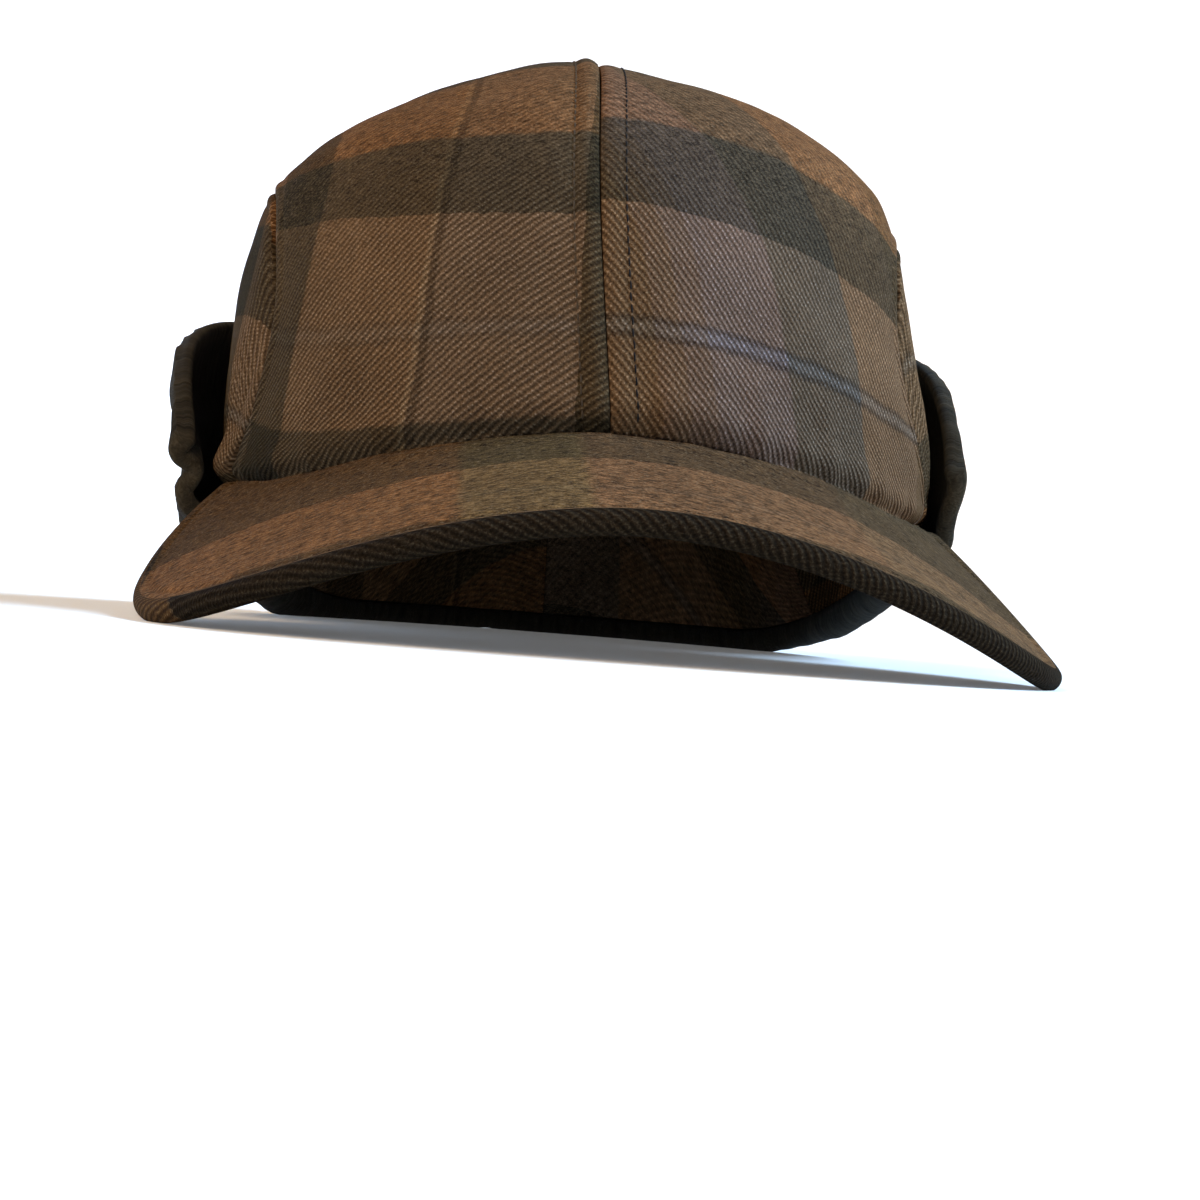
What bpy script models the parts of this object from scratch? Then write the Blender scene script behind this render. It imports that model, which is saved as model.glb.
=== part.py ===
"""Hunting cap: a plaid wool crown of four panels, a curved peak and a folded-up ear band.

Metres, +Z up. The peak points along -Y and left is -X. The cap stands on z = 0, on the two sides
of its peak and on the flat rear of the ear band's fold. The shapes are worked out about the
crown's middle, and the origin is then moved to the middle of the whole cap's footprint.
"""

import math

import bpy
import numpy as np
from mathutils import Matrix, Vector

# Crown: sizes of its outer surface
CROWN_HALF_WIDTH = 0.086
CROWN_FRONT_REACH = 0.102
CROWN_REAR_REACH = 0.101
CROWN_RISE = 0.0925  # from the front of the rim to the top
CROWN_WALL = 0.0025
CROWN_LEAN = -0.010  # sideways shift of the soft crown at its top, growing with the height
CROWN_TOP_SHIFT = 0.014  # further shift of the top, growing with the cube of the height
RIM_TILT = 0.015  # rise of the rim for each metre to the right
REAR_RIM_START = 140.0  # degrees round from the front, where the rim becomes level
RIM_STEPS = 14  # steps along the rim of each end of a top panel

# Peak: a bent sheet that slopes forward
PEAK_OVERHANG = 0.0085  # how far its sides stand out beyond the crown's
PEAK_WIDEST_BEHIND = 0.015  # from the crown's front back to where the peak is widest
PEAK_LENGTH = 0.082  # from there to its front edge
PEAK_SQUARENESS = 2.35
PEAK_THICKNESS = 0.0045
PEAK_JOIN_GAP = 0.0004  # between it and the lower edge of the crown
PEAK_SLOPE = 0.277  # fall for each metre forward
PEAK_DROP_LEFT = 0.0404  # from its middle line to its side
PEAK_DROP_RIGHT = 0.041
PEAK_CURVE = 1.9  # how the drop grows with the distance from the middle line
PEAK_END_ANGLE = 71.0  # degrees round the rim from the front
PEAK_OUTLINE_END = 118.0  # degrees round the peak's outline, where it meets the crown
PEAK_SIDE_SHIFT = 0.0015  # the worn peak sits a little to the right of the crown's middle
PEAK_STEPS_ACROSS = 44
PEAK_STEPS_DEEP = 6
PEAK_STEPS_ROUND_EDGE = 4

# Ear band, folded up round the sides and the back
BAND_THICKNESS = 0.0035
BAND_TOP_FRONT = 0.060  # height of its upper edge near its ends
BAND_TOP_REAR = 0.080
BAND_RISE_ANGLE = 42.0  # degrees over which the upper edge rises
BAND_TILT = 0.045  # rise of the upper edge for each metre to the right
BAND_CORNER_RADIUS = 0.014
BAND_CORNER_ANGLE = 10.0
BAND_START_ANGLE = 76.0
BAND_INNER_LEG = 0.0015  # straight stretch under the rim, above the fold
BAND_JOIN_GAP = 0.0004  # between it and the lower edge of the crown
BAND_PRESSED = 0.00055  # how far the rear of the fold is pressed flat by the cap's weight
BAND_STANDOFF_LEFT = 0.0092  # widest clear space between the band and the crown
BAND_STANDOFF_RIGHT = 0.0047
BAND_STANDOFF_REAR = 0.0016
BAND_CLOSES_FROM = 105.0  # degrees from the front, where the band starts to close on the crown
BAND_CLOSES_OVER = 60.0
BAND_STEPS_SIDE = 12
BAND_STEPS_REAR = 16
BAND_FOLD_STEPS = 6
BAND_LEG_STEPS = 7

SEAM_GAP = 0.0003

# Meridians of the crown, from the rim to the top: shares of the rise and of the half-width or reach
PROFILE_COLUMNS = ("front_up", "front_out", "side_up", "side_out", "rear_up", "rear_out")
PROFILE = (
    (0.000, 1.000, 0.000, 0.976, 0.000, 0.960),
    (0.208, 0.983, 0.175, 0.995, 0.175, 0.995),
    (0.412, 0.940, 0.350, 0.974, 0.350, 0.973),
    (0.601, 0.859, 0.525, 0.938, 0.535, 0.911),
    (0.758, 0.731, 0.690, 0.866, 0.710, 0.800),
    (0.869, 0.568, 0.822, 0.705, 0.840, 0.642),
    (0.943, 0.386, 0.926, 0.490, 0.929, 0.446),
    (0.989, 0.196, 0.984, 0.256, 0.983, 0.232),
    (1.000, 0.000, 1.000, 0.000, 1.000, 0.000),
)

# Seam round a side panel, from the front of the rim over its arch to the rear of the rim
SEAM_COLUMNS = ("angle", "way_up")  # degrees from the front, share of the meridian
SEAM = (
    (75.0, 0.00),
    (62.0, 0.11),
    (57.5, 0.22),
    (61.5, 0.34),
    (73.0, 0.45),
    (94.0, 0.50),
    (115.0, 0.45),
    (127.0, 0.34),
    (131.0, 0.22),
    (128.0, 0.11),
    (120.0, 0.00),
)
CENTRE_SEAM_SHIFT = -0.0048  # how far the seam between the top panels has crept sideways at the top
SEAM_SIDE_STEPS = 8  # steps up each end of the arch
SEAM_TOP_STEPS = 10  # steps along its top
BULGE_FADE = 3  # how fast a panel's rows straighten away from its lower edges

# How far the ear band stands off the crown, as shares of its widest clear space on each side
STANDOFF_COLUMNS = ("way_up", "left", "right")
STANDOFF = (
    (0.00, 0.92, 0.85),
    (0.20, 0.76, 0.85),
    (0.42, 0.67, 0.89),
    (0.55, 0.78, 0.96),
    (0.68, 1.00, 1.00),
    (0.85, 1.00, 0.96),
    (1.00, 0.85, 0.81),
)

# What follows from these sizes
PEAK_HALF_WIDTH = CROWN_HALF_WIDTH + PEAK_OVERHANG
PEAK_CENTRE_Y = PEAK_WIDEST_BEHIND - CROWN_FRONT_REACH
REAR_FOLD_RADIUS = (BAND_STANDOFF_REAR + BAND_THICKNESS / 2 + CROWN_WALL / 2) / 2
REAR_RIM_HEIGHT = BAND_JOIN_GAP + BAND_INNER_LEG + REAR_FOLD_RADIUS + BAND_THICKNESS / 2 - BAND_PRESSED


def column(table, columns, name):
    """One named column of a table as an array."""
    return np.array([row[columns.index(name)] for row in table])


def smooth(values, places, where, mirrored_end=None):
    """Values of a table read along a smooth curve through its rows."""
    values = np.asarray(values, float)
    places = np.asarray(places, float)
    slopes = np.gradient(values, places)
    if mirrored_end == "odd":
        slopes[-1] = (values[-1] - values[-2]) / (places[-1] - places[-2])
    if mirrored_end == "even":
        slopes[-1] = 0.0
    where = np.clip(where, places[0], places[-1])
    row = np.clip(np.searchsorted(places, where, side="right") - 1, 0, len(places) - 2)
    step = places[row + 1] - places[row]
    t = (where - places[row]) / step
    return (
        values[row] * (1 + 2 * t) * (1 - t) ** 2
        + slopes[row] * step * t * (1 - t) ** 2
        + values[row + 1] * t * t * (3 - 2 * t)
        + slopes[row + 1] * step * t * t * (t - 1)
    )


def peak_fall(x, y):
    """Height of the peak's sheet below its highest line, where it meets the crown in front."""
    forward = -CROWN_FRONT_REACH - y
    share = (x - PEAK_SIDE_SHIFT) / PEAK_HALF_WIDTH
    drop = np.where(share < 0, PEAK_DROP_LEFT, PEAK_DROP_RIGHT) * np.abs(share) ** PEAK_CURVE
    return PEAK_SLOPE * forward + drop - RIM_TILT * x * (1 - np.clip(np.abs(share), 0, 1) ** 3)


def peak_outline(turn):
    """Outer edge of the peak in plan, by degrees from its front. It ends beside the rim's last point."""
    a = np.radians(turn)
    power = 2 / PEAK_SQUARENESS
    x = PEAK_SIDE_SHIFT + PEAK_HALF_WIDTH * np.sign(np.sin(a)) * np.abs(np.sin(a)) ** power
    end_y = -CROWN_FRONT_REACH * math.cos(math.radians(PEAK_END_ANGLE))
    back_length = (end_y - PEAK_CENTRE_Y) / abs(math.cos(math.radians(PEAK_OUTLINE_END))) ** power
    length = np.where(np.cos(a) > 0, PEAK_LENGTH, back_length)
    y = PEAK_CENTRE_Y - length * np.sign(np.cos(a)) * np.abs(np.cos(a)) ** power
    return x, y


def hinge_height():
    """Height at which the crown meets the peak in front, with the peak's sides on the ground."""
    x, y = peak_outline(np.linspace(-PEAK_OUTLINE_END, PEAK_OUTLINE_END, 501))
    fall = peak_fall(x, y)
    step = 1e-4
    side_slope = np.arctan((peak_fall(x + step * np.sign(x), y) - fall) / step)
    below_edge = PEAK_THICKNESS / 2 * (1 + np.cos(side_slope) - np.sin(side_slope))
    return float((fall + below_edge).max())


HINGE_HEIGHT = hinge_height()
CROWN_TOP = HINGE_HEIGHT + CROWN_RISE


def ease(t):
    """Rises from 0 to 1 and flattens out."""
    t = np.clip(t, 0, 1)
    return 1 - (1 - t) ** 2


def sway(t):
    """Leaves 0 and reaches 1 level."""
    t = np.clip(t, 0, 1)
    return t * t * (3 - 2 * t)


def rim_height(angle):
    """Height of the crown's lower edge, by degrees from the front."""
    a = np.radians(np.clip(np.abs(angle), 0, PEAK_END_ANGLE)) * np.sign(angle)
    x = CROWN_HALF_WIDTH * np.sin(a)
    y = -CROWN_FRONT_REACH * np.cos(a)
    height = HINGE_HEIGHT - peak_fall(x, y)
    way_back = (np.abs(angle) - PEAK_END_ANGLE) / (REAR_RIM_START - PEAK_END_ANGLE)
    return height + (REAR_RIM_HEIGHT - height) * sway(way_back)


def meridian(angle, way_up):
    """Point of the crown's outer surface by degrees from the front and share of the way to the top."""
    a = np.radians(angle)
    rows = np.linspace(0, 1, len(PROFILE))
    side = np.sin(a) ** 2
    front = np.where(np.cos(a) > 0, np.cos(a) ** 2, 0)
    rear = np.where(np.cos(a) > 0, 0, np.cos(a) ** 2)

    def read(kind, end):
        return sum(
            weight * smooth(column(PROFILE, PROFILE_COLUMNS, f"{name}_{kind}"), rows, way_up, end)
            for name, weight in (("front", front), ("side", side), ("rear", rear))
        )

    up, out = read("up", "even"), read("out", "odd")
    rim = rim_height(angle)
    z = rim + (CROWN_TOP - rim) * up
    reach = np.where(np.cos(a) > 0, CROWN_FRONT_REACH, CROWN_REAR_REACH)
    high = np.clip((z - HINGE_HEIGHT) / CROWN_RISE, 0, 1)
    x = CROWN_HALF_WIDTH * np.sin(a) * out + CROWN_LEAN * high + CROWN_TOP_SHIFT * high**3
    y = -reach * np.cos(a) * out
    return np.stack([x, y, z], axis=-1)


def on_disc(p, q):
    """The same surface over a flat disc: the rim is its edge, the top its middle, the front at -q."""
    return meridian(np.degrees(np.arctan2(p, -q)), 1 - np.hypot(p, q))


def unit(v):
    """Vectors of length 1."""
    return v / np.linalg.norm(v, axis=-1, keepdims=True)


def crown_normal(p, q):
    """Outward direction at a point of the disc."""
    step = 1e-3
    shrink = 1 - 2 * step
    p, q = p * shrink, q * shrink
    along_p = on_disc(p + step, q) - on_disc(p - step, q)
    along_q = on_disc(p, q + step) - on_disc(p, q - step)
    return unit(np.cross(along_p, along_q))


def seam_on_disc(side):
    """Stations of a side panel's seam on the disc, for side 1 on the right and -1 on the left."""
    angles = column(SEAM, SEAM_COLUMNS, "angle")
    ways = column(SEAM, SEAM_COLUMNS, "way_up")
    rows = np.linspace(0, 1, len(SEAM))
    stations = np.linspace(0, 1, 2 * SEAM_SIDE_STEPS + SEAM_TOP_STEPS + 1)
    angle = np.radians(smooth(angles, rows, stations))
    out = 1 - smooth(ways, rows, stations)
    return np.stack([side * out * np.sin(angle), -out * np.cos(angle)], axis=-1)


def moved_off(line, distance):
    """A line of the disc moved to its left, as seen along it, by a share of the disc's radius."""
    along = unit(np.gradient(line, axis=0))
    return line + distance * np.stack([-along[:, 1], along[:, 0]], axis=-1)


def spread(bottom, top, left, right):
    """Grid of points between four edges. left and right run from bottom to top.

    Its rows are straight, but for the bulges of the bottom and the top, which fade towards the middle."""
    c = np.linspace(0, 1, len(bottom))[None, :, None]
    r = np.linspace(0, 1, len(left))[:, None, None]
    straight = (1 - c) * left[:, None] + c * right[:, None]
    bottom_bulge = bottom - ((1 - c) * bottom[0] + c * bottom[-1])
    top_bulge = top - ((1 - c) * top[0] + c * top[-1])
    return straight + (1 - r) ** BULGE_FADE * bottom_bulge + r**BULGE_FADE * top_bulge


def new_object(name, points, faces, material):
    """Object with a smooth-shaded mesh and its material."""
    mesh = bpy.data.meshes.new(name)
    mesh.from_pydata([tuple(p) for p in points], [], faces)
    mesh.validate()
    obj = bpy.data.objects.new(name, mesh)
    bpy.context.scene.collection.objects.link(obj)
    mesh.materials.append(material)
    mesh.shade_smooth()
    mesh.set_sharp_from_angle(angle=math.radians(40))
    return obj


def grid_shell(name, outer, inner, material, flip):
    """Closed solid between two grids of points."""
    rows, columns = outer.shape[:2]
    count = rows * columns

    def at(r, c, layer):
        return layer * count + r * columns + c

    faces = []
    for r in range(rows - 1):
        for c in range(columns - 1):
            faces.append((at(r, c, 0), at(r, c + 1, 0), at(r + 1, c + 1, 0), at(r + 1, c, 0)))
            faces.append((at(r, c, 1), at(r + 1, c, 1), at(r + 1, c + 1, 1), at(r, c + 1, 1)))
    border = (
        [(0, c) for c in range(columns)]
        + [(r, columns - 1) for r in range(1, rows)]
        + [(rows - 1, c) for c in range(columns - 2, -1, -1)]
        + [(r, 0) for r in range(rows - 2, 0, -1)]
    )
    for i, here in enumerate(border):
        ahead = border[(i + 1) % len(border)]
        faces.append((at(*here, 0), at(*here, 1), at(*ahead, 1), at(*ahead, 0)))
    if flip:
        faces = [face[::-1] for face in faces]
    points = np.concatenate([outer.reshape(-1, 3), inner.reshape(-1, 3)])
    return new_object(name, points, faces, material)


def crown_panel(name, disc, side, material):
    """Cloth panel over a grid of disc points."""
    outer = on_disc(disc[..., 0], disc[..., 1])
    inner = outer - CROWN_WALL * crown_normal(disc[..., 0], disc[..., 1])
    return grid_shell(name, outer, inner, material, flip=side < 0)


def rim_arc(start, end, side, steps):
    """Stations along the rim on the disc, between two angles from the front."""
    angle = np.radians(np.linspace(start, end, steps + 1))
    return np.stack([side * np.sin(angle), -np.cos(angle)], axis=-1)


def top_panel(name, side, material):
    """Half of the crown's top, from the peak over the head to the back."""
    half_gap = SEAM_GAP / CROWN_HALF_WIDTH
    seam = moved_off(seam_on_disc(side), side * half_gap)
    steps = len(seam) - 1
    front_to_rear = np.linspace(-1, 1, steps + 1)
    crept = CENTRE_SEAM_SHIFT / CROWN_HALF_WIDTH * (1 - front_to_rear**2) ** 2
    middle = np.stack([crept + side * half_gap, front_to_rear], axis=-1)
    front_end = math.degrees(math.atan2(abs(seam[0, 0]), -seam[0, 1]))
    rear_end = math.degrees(math.atan2(abs(seam[-1, 0]), -seam[-1, 1]))
    front = rim_arc(math.degrees(half_gap), front_end, side, RIM_STEPS)
    rear = rim_arc(180 - math.degrees(half_gap), rear_end, side, RIM_STEPS)
    middle[0], middle[-1] = front[0], rear[0]
    seam[0], seam[-1] = front[-1], rear[-1]
    return crown_panel(name, spread(front, rear, middle, seam), side, material)


def side_panel(name, side, material):
    """Arched panel over the ear."""
    half_gap = SEAM_GAP / CROWN_HALF_WIDTH
    seam = moved_off(seam_on_disc(side), -side * half_gap)
    up = seam[: SEAM_SIDE_STEPS + 1]
    over = seam[SEAM_SIDE_STEPS : -SEAM_SIDE_STEPS]
    down = seam[-SEAM_SIDE_STEPS - 1 :][::-1]
    front_end = math.degrees(math.atan2(abs(up[0, 0]), -up[0, 1]))
    rear_end = math.degrees(math.atan2(abs(down[0, 0]), -down[0, 1]))
    rim = rim_arc(front_end, rear_end, side, SEAM_TOP_STEPS)
    up[0], down[0] = rim[0], rim[-1]
    return crown_panel(name, spread(rim, over, up, down), side, material)


def loft(name, rings, material):
    """Closed solid through rings of equal length, with flat ends."""
    rings = np.asarray(rings)
    stations, corners = rings.shape[:2]
    faces = []
    for s in range(stations - 1):
        for c in range(corners):
            d = (c + 1) % corners
            faces.append(
                (s * corners + c, s * corners + d, (s + 1) * corners + d, (s + 1) * corners + c)
            )
    faces.append(tuple(range(corners))[::-1])
    faces.append(tuple((stations - 1) * corners + c for c in range(corners)))
    return new_object(name, rings.reshape(-1, 3), faces, material)


def make_peak(material):
    """Stiff peak covered with the cloth, with a round front edge."""
    rim_angle = np.linspace(-PEAK_END_ANGLE, PEAK_END_ANGLE, PEAK_STEPS_ACROSS + 1)
    inner = meridian(rim_angle, 0 * rim_angle)
    inner[:, 2] -= PEAK_JOIN_GAP
    a = np.radians(rim_angle)
    ledge = inner - CROWN_WALL * crown_normal(np.sin(a), -np.cos(a))
    turn = rim_angle / PEAK_END_ANGLE * PEAK_OUTLINE_END
    x, y = peak_outline(turn)
    outer = np.stack([x, y, HINGE_HEIGHT - peak_fall(x, y)], axis=-1)
    along = unit(np.gradient(outer, axis=0))
    out = unit(outer - inner)
    up = unit(np.cross(out, along))
    half = PEAK_THICKNESS / 2
    way = np.linspace(0, 1, PEAK_STEPS_DEEP + 1)[:, None, None]
    top = inner + way * (outer - half * out - inner)
    rings = []
    for i in range(len(rim_angle)):
        upper = [ledge[i]] + list(top[:, i])
        centre = top[-1, i] - half * up[i]
        bead = [
            centre + half * (math.sin(b) * out[i] + math.cos(b) * up[i])
            for b in np.linspace(0, math.pi, PEAK_STEPS_ROUND_EDGE + 1)[1:-1]
        ]
        lower = [point - PEAK_THICKNESS * up[i] for point in upper[::-1]]
        rings.append([(p[0], p[1], max(p[2], 0.0)) for p in upper + bead + lower])
    return loft("peak", rings, material)


def band_top(angle):
    """Height of the ear band's upper edge, which rises from its round front corners to the back."""
    past_start = np.abs(angle) - BAND_START_ANGLE
    height = BAND_TOP_FRONT + (BAND_TOP_REAR - BAND_TOP_FRONT) * ease(past_start / BAND_RISE_ANGLE)
    corner = np.clip(past_start / BAND_CORNER_ANGLE, 0, 1)
    across = CROWN_HALF_WIDTH * np.sin(np.radians(angle))
    return height + BAND_TILT * across - BAND_CORNER_RADIUS * (1 - np.sqrt(1 - (1 - corner) ** 2))


def band_standoff(angle, way_up):
    """Clear space between the crown and the ear band."""
    name, widest = ("left", BAND_STANDOFF_LEFT) if angle < 0 else ("right", BAND_STANDOFF_RIGHT)
    shares = column(STANDOFF, STANDOFF_COLUMNS, name)
    side = widest * smooth(shares, column(STANDOFF, STANDOFF_COLUMNS, "way_up"), way_up)
    return side + (BAND_STANDOFF_REAR - side) * sway((abs(angle) - BAND_CLOSES_FROM) / BAND_CLOSES_OVER)


def crown_at_height(angle, z):
    """Plan position of the crown's outer surface at a height, for heights below its shoulders."""
    ways = np.linspace(0, 0.6, 61)
    line = meridian(np.full(len(ways), angle), ways)
    return np.array([np.interp(z, line[:, 2], line[:, k]) for k in (0, 1)])


def band_ring(angle):
    """Section of the ear band: a short leg under the rim, a round fold and a leg up outside the crown."""
    a = math.radians(angle)
    reach = CROWN_FRONT_REACH if math.cos(a) > 0 else CROWN_REAR_REACH
    out = unit(np.array([math.sin(a) / CROWN_HALF_WIDTH, -math.cos(a) / reach]))
    rim = meridian(np.array([angle]), np.array([0.0]))[0]
    half = BAND_THICKNESS / 2
    leg_top = rim[2] - BAND_JOIN_GAP
    fold_level = leg_top - BAND_INNER_LEG
    inside, outside = -CROWN_WALL / 2, band_standoff(angle, 0.0) + half
    middle, radius = (outside + inside) / 2, (outside - inside) / 2
    line = [(inside, leg_top), (inside, fold_level)]
    for b in np.linspace(math.pi, 2 * math.pi, BAND_FOLD_STEPS + 1)[1:]:
        line.append((middle + radius * math.cos(b), fold_level + radius * math.sin(b)))
    top = float(band_top(angle)) - half
    for way in np.linspace(0, 1, BAND_LEG_STEPS + 1)[1:]:
        level = fold_level + way * (top - fold_level)
        crown = np.dot(crown_at_height(angle, max(level, rim[2])) - rim[:2], out)
        line.append((crown + band_standoff(angle, way) + half, level))
    line = np.array(line)
    along = unit(np.gradient(line, axis=0))
    side = half * np.stack([along[:, 1], -along[:, 0]], axis=-1)
    ring = list(line + side) + [line[-1] + half * along[-1]] + list((line - side)[::-1])
    return [(rim[0] + n * out[0], rim[1] + n * out[1], max(z, 0.0)) for n, z in ring]


def make_ear_band(material):
    """Padded band from one end of the peak round the back to the other."""
    side = np.linspace(BAND_START_ANGLE, BAND_CLOSES_FROM, BAND_STEPS_SIDE + 1)
    rear = np.linspace(BAND_CLOSES_FROM, 180, BAND_STEPS_REAR + 1)[1:]
    right = np.concatenate([side, rear])
    around = np.concatenate([-right[:-1], right[::-1]])
    return loft("ear_band", [band_ring(angle) for angle in around], material)


def cloth_material(name, colour, roughness):
    """Plain matt cloth."""
    material = bpy.data.materials.new(name)
    material.use_nodes = True
    shader = material.node_tree.nodes["Principled BSDF"]
    shader.inputs["Base Color"].default_value = (*colour, 1.0)
    shader.inputs["Roughness"].default_value = roughness
    shader.inputs["Metallic"].default_value = 0.0
    return material


def move_origin_to_footprint(objects):
    """Shifts the meshes so that the origin is the bottom centre of the box round them all."""
    low = np.full(3, np.inf)
    high = np.full(3, -np.inf)
    for obj in objects:
        points = np.array([vertex.co[:] for vertex in obj.data.vertices])
        low, high = np.minimum(low, points.min(0)), np.maximum(high, points.max(0))
    middle = Vector(((low[0] + high[0]) / 2, (low[1] + high[1]) / 2, low[2]))
    for obj in objects:
        obj.data.transform(Matrix.Translation(-middle))


def main():
    for obj in list(bpy.data.objects):
        bpy.data.objects.remove(obj)
    wool = cloth_material("plaid_wool", (0.085, 0.055, 0.036), 0.92)
    lining = cloth_material("ear_lining", (0.018, 0.017, 0.014), 0.95)
    pieces = [make_peak(wool), make_ear_band(lining)]
    for name, side in (("right", 1), ("left", -1)):
        pieces.append(top_panel(f"top_panel_{name}", side, wool))
        pieces.append(side_panel(f"side_panel_{name}", side, wool))
    move_origin_to_footprint(pieces)


main()
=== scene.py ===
"""Looks of the hunting cap: fine cloth panels, peak, folded ear band, stitches, light and camera.

Metres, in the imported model's frame. The shapes repeat the construction's named sizes, on finer
grids, and add seams, folds and puckers to them. Left and right are the viewer's.
"""

import math

import bpy
import numpy as np
from mathutils import Matrix, Vector


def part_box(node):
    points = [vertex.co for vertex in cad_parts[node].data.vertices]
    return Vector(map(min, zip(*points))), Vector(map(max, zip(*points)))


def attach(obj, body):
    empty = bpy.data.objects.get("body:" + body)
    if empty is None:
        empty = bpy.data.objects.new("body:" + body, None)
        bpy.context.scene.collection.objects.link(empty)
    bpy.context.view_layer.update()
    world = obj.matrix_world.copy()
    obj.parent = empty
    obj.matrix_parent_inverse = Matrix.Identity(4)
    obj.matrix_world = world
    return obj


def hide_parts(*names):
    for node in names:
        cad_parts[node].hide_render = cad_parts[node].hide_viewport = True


# Crown: the construction's sizes
CROWN_HALF_WIDTH = 0.086
CROWN_FRONT_REACH = 0.102
CROWN_REAR_REACH = 0.101
CROWN_RISE = 0.0925
CROWN_WALL = 0.0025
CROWN_LEAN = -0.010
CROWN_TOP_SHIFT = 0.014
RIM_TILT = 0.015
REAR_RIM_START = 140.0
CENTRE_SEAM_SHIFT = -0.0048

# Peak
PEAK_OVERHANG = 0.0085
PEAK_WIDEST_BEHIND = 0.015
PEAK_LENGTH = 0.082
PEAK_SQUARENESS = 2.35
PEAK_THICKNESS = 0.0045
PEAK_JOIN_GAP = 0.0004
PEAK_SLOPE = 0.277
PEAK_DROP_LEFT = 0.0404
PEAK_DROP_RIGHT = 0.041
PEAK_CURVE = 1.9
PEAK_END_ANGLE = 71.0
PEAK_OUTLINE_END = 118.0
PEAK_SIDE_SHIFT = 0.0015

# Ear band
BAND_THICKNESS = 0.0035
BAND_TOP_FRONT = 0.060
BAND_TOP_REAR = 0.080
BAND_RISE_ANGLE = 42.0
BAND_TILT = 0.045
BAND_CORNER_RADIUS = 0.014
BAND_CORNER_ANGLE = 10.0
BAND_START_ANGLE = 76.0
BAND_INNER_LEG = 0.0015
BAND_JOIN_GAP = 0.0004
BAND_PRESSED = 0.00055
BAND_STANDOFF_LEFT = 0.0092
BAND_STANDOFF_RIGHT = 0.0047
BAND_STANDOFF_REAR = 0.0016
BAND_CLOSES_FROM = 105.0
BAND_CLOSES_OVER = 60.0

# Meridians of the crown: shares of the rise and of the half-width or reach
PROFILE_COLUMNS = ("front_up", "front_out", "side_up", "side_out", "rear_up", "rear_out")
PROFILE = (
    (0.000, 1.000, 0.000, 0.976, 0.000, 0.960),
    (0.208, 0.983, 0.175, 0.995, 0.175, 0.995),
    (0.412, 0.940, 0.350, 0.974, 0.350, 0.973),
    (0.601, 0.859, 0.525, 0.938, 0.535, 0.911),
    (0.758, 0.731, 0.690, 0.866, 0.710, 0.800),
    (0.869, 0.568, 0.822, 0.705, 0.840, 0.642),
    (0.943, 0.386, 0.926, 0.490, 0.929, 0.446),
    (0.989, 0.196, 0.984, 0.256, 0.983, 0.232),
    (1.000, 0.000, 1.000, 0.000, 1.000, 0.000),
)
SEAM_COLUMNS = ("angle", "way_up")
SEAM = (
    (75.0, 0.00),
    (62.0, 0.11),
    (57.5, 0.22),
    (61.5, 0.34),
    (73.0, 0.45),
    (94.0, 0.50),
    (115.0, 0.45),
    (127.0, 0.34),
    (131.0, 0.22),
    (128.0, 0.11),
    (120.0, 0.00),
)
SEAM_ARCH_SHARE = (8 / 26, 18 / 26)  # stretch of that seam that runs over the arch
BULGE_FADE = 3
STANDOFF_COLUMNS = ("way_up", "left", "right")
STANDOFF = (
    (0.00, 0.92, 0.85),
    (0.20, 0.76, 0.85),
    (0.42, 0.67, 0.89),
    (0.55, 0.78, 0.96),
    (0.68, 1.00, 1.00),
    (0.85, 1.00, 0.96),
    (1.00, 0.85, 0.81),
)

PEAK_HALF_WIDTH = CROWN_HALF_WIDTH + PEAK_OVERHANG
PEAK_CENTRE_Y = PEAK_WIDEST_BEHIND - CROWN_FRONT_REACH
REAR_FOLD_RADIUS = (BAND_STANDOFF_REAR + BAND_THICKNESS / 2 + CROWN_WALL / 2) / 2
REAR_RIM_HEIGHT = (
    BAND_JOIN_GAP + BAND_INNER_LEG + REAR_FOLD_RADIUS + BAND_THICKNESS / 2 - BAND_PRESSED
)

# Photograph: a level camera, turned and rolled to the cap
CAMERA_TURN = -4.57
CAMERA_ROLL = 4.48
CAMERA_DISTANCE = 0.5394
CAMERA_AIM = (0.010476, 0.031478)
CAMERA_HEIGHT = 0.01072
FOCAL_PIXELS = 2180.0
PHOTO_PIXELS = 1200.0
SENSOR = 36.0

LEFT, RIGHT = -1, 1  # the viewer's, as the sign of x
WORDS = {LEFT: "left", RIGHT: "right"}

# Seams of the crown
SEWN_GAP = 0.00012  # from a seam to the cloth on each side, as sewn
SEAM_GROOVE = 0.0003
SEAM_GROOVE_WIDTH = 0.0006
SEAM_FOLD_WIDTH = 0.0055  # from the centre seam to its topstitch
SEAM_FOLD_RISE = 0.0007
SEAM_FOLD_SHARE = {LEFT: 1.3, RIGHT: 0.5}  # of that rise on each panel
SIDE_FOLD_WIDTH = 0.0036
SIDE_FOLD_RISE = 0.0004
FOLD_CREST, FOLD_SPREAD = 0.46, 0.4  # place and breadth of its crest, as shares of its width
STITCH_DIP = 0.3  # of the topstitch, as a share of the fold's rise
STITCH_DIP_WIDTH = 0.0007

# Lower edge of the crown
RIM_TUCK = 0.0022  # how far it tucks in above the peak
RIM_TUCK_HEIGHT = 0.0052
RIM_PUFF = 0.0005
RIM_PUFF_PLACE = (0.0065, 0.0032)  # middle and width, up the cloth
PUCKER_FADE = 0.011

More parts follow.
